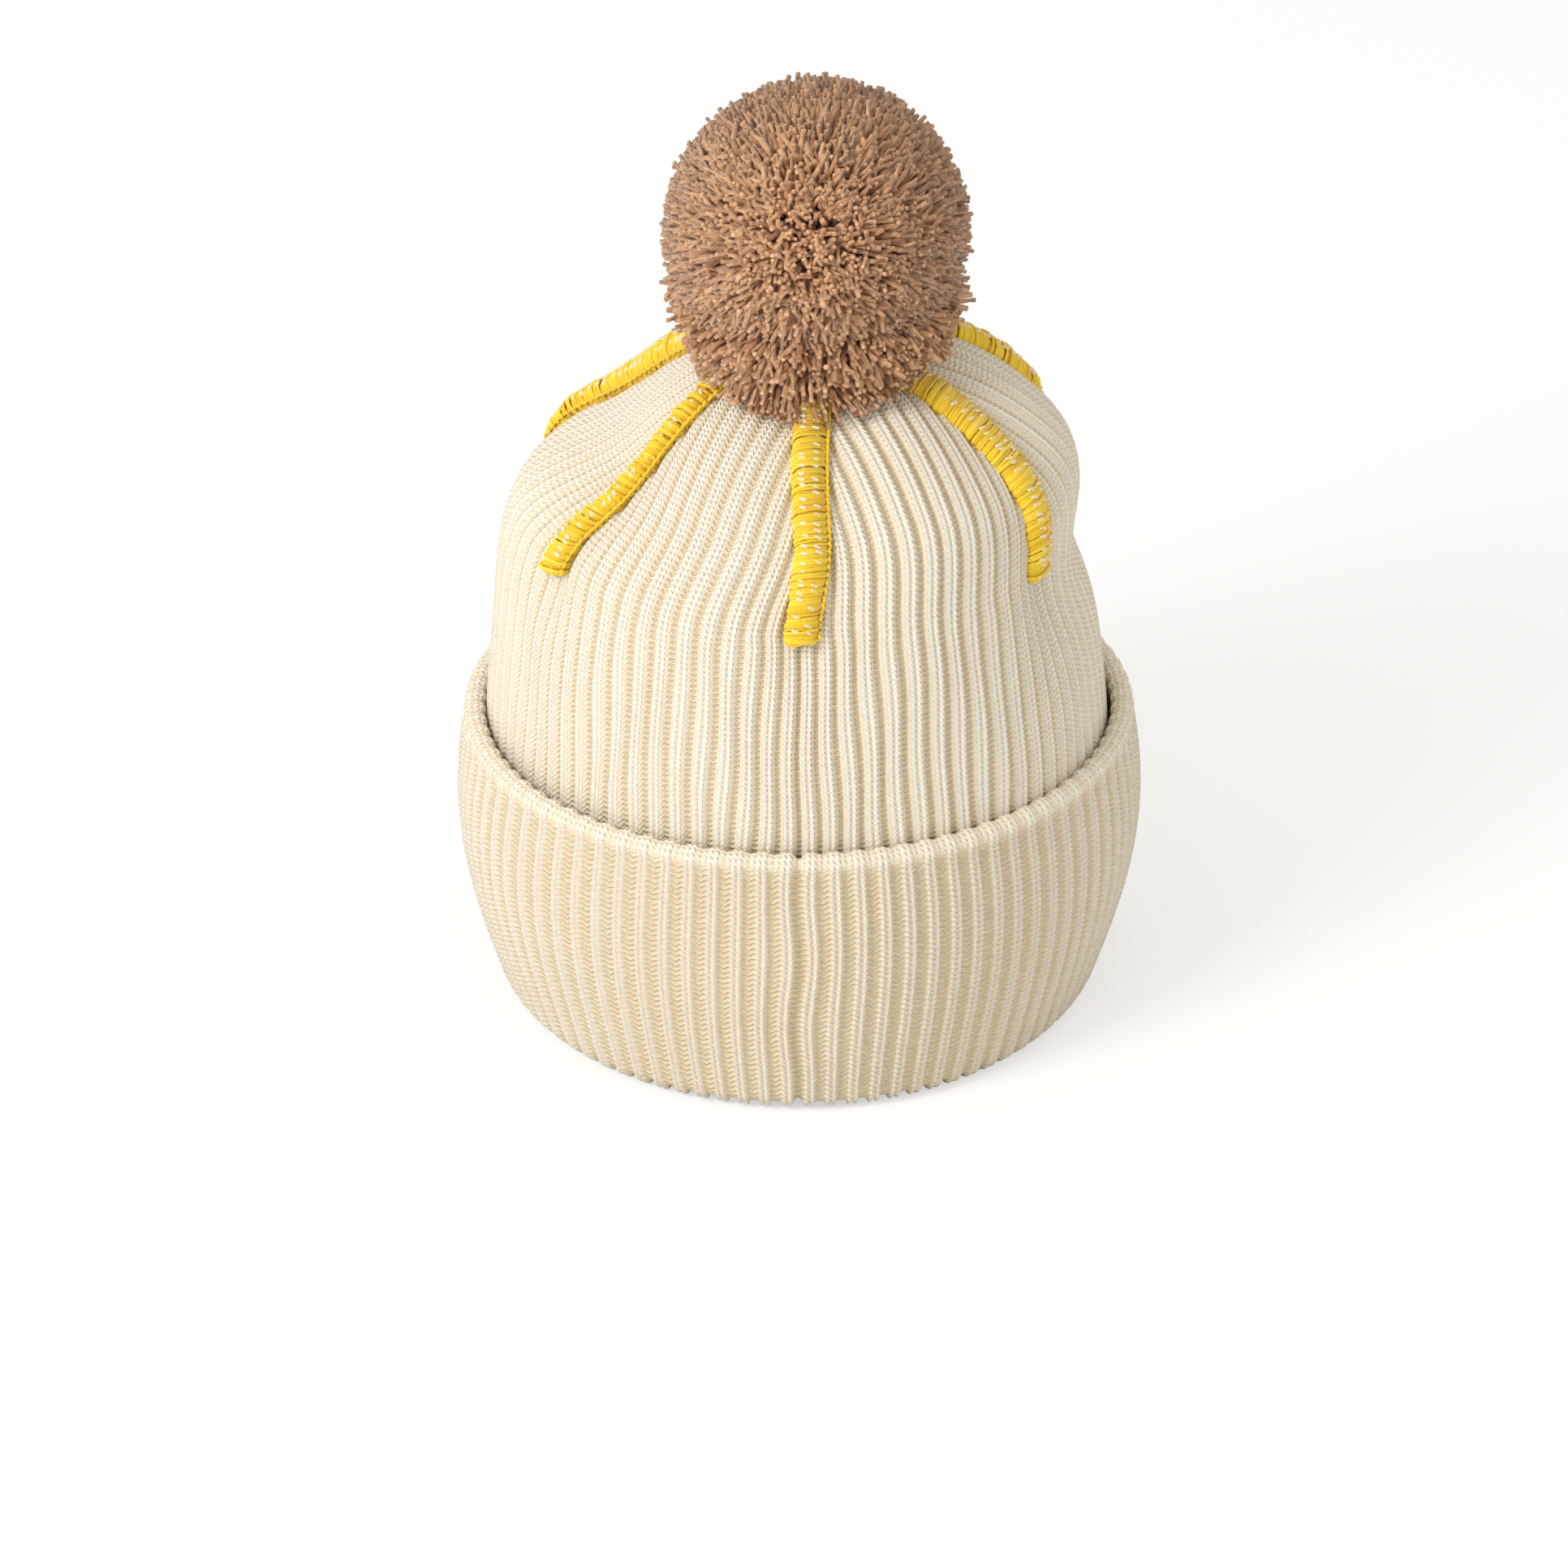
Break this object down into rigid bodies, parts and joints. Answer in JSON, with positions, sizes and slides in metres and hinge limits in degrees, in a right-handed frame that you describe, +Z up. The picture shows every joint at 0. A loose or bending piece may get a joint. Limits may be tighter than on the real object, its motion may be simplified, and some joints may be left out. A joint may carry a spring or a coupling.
{
  "type": "knit beanie",
  "caption": "Rib-knit beanie with a deep turned-up cuff, contrast overlocked crown seams and a yarn pompom that rocks on its tie.",
  "frame": {"origin": "centre of the rim, on the plane of the cuff's fold", "axes": "+Z up through the crown and the pompom, +X to the wearer's right when seen from behind, -Y the back where the knit is joined, +Y the front"},
  "size_m": [0.1948, 0.2022, 0.2785],
  "materials": {
    "cream_knit": "2x2 rib knit in soft cream wool-blend yarn",
    "cuff_knit": "2x2 rib knit in soft cream wool-blend yarn, turned up",
    "yellow_thread": "dense overlock wraps of yellow textured thread",
    "cream_thread": "overlock wraps of cream textured thread",
    "label_satin": "blank white satin label tape",
    "tan_yarn": "twisted tan yarn, wound tight",
    "pompom_yarn": "cut twisted tan yarn ends with brown shadows"
  },
  "bodies": {
    "hat": {"body_panel": "cream_knit", "cuff": "cuff_knit", "crown_seam_back": "yellow_thread", "crown_seam_back_right": "yellow_thread", "crown_seam_front_right": "yellow_thread", "crown_seam_front": "yellow_thread", "crown_seam_front_left": "yellow_thread", "crown_seam_back_left": "yellow_thread", "back_seam": "cream_thread", "cuff_seam": "cream_thread", "care_label": "label_satin", "tie_knot": "tan_yarn"},
    "tie": {"pompom_tie": "tan_yarn"},
    "pompom": {"pompom_binding": "tan_yarn", "pompom_strands": "pompom_yarn"}
  },
  "joints": [
    {"name": "rock_fore_aft", "type": "hinge", "parent": "hat", "child": "tie", "pos_m": [0, 0, 0.19625], "axis": [1, 0, 0], "range_deg": [-15, 15], "stiffness_Nm_per_rad": 0.08},
    {"name": "rock_sideways", "type": "hinge", "parent": "tie", "child": "pompom", "pos_m": [0, 0, 0.19625], "axis": [0, 1, 0], "range_deg": [-15, 15], "stiffness_Nm_per_rad": 0.08}
  ]
}
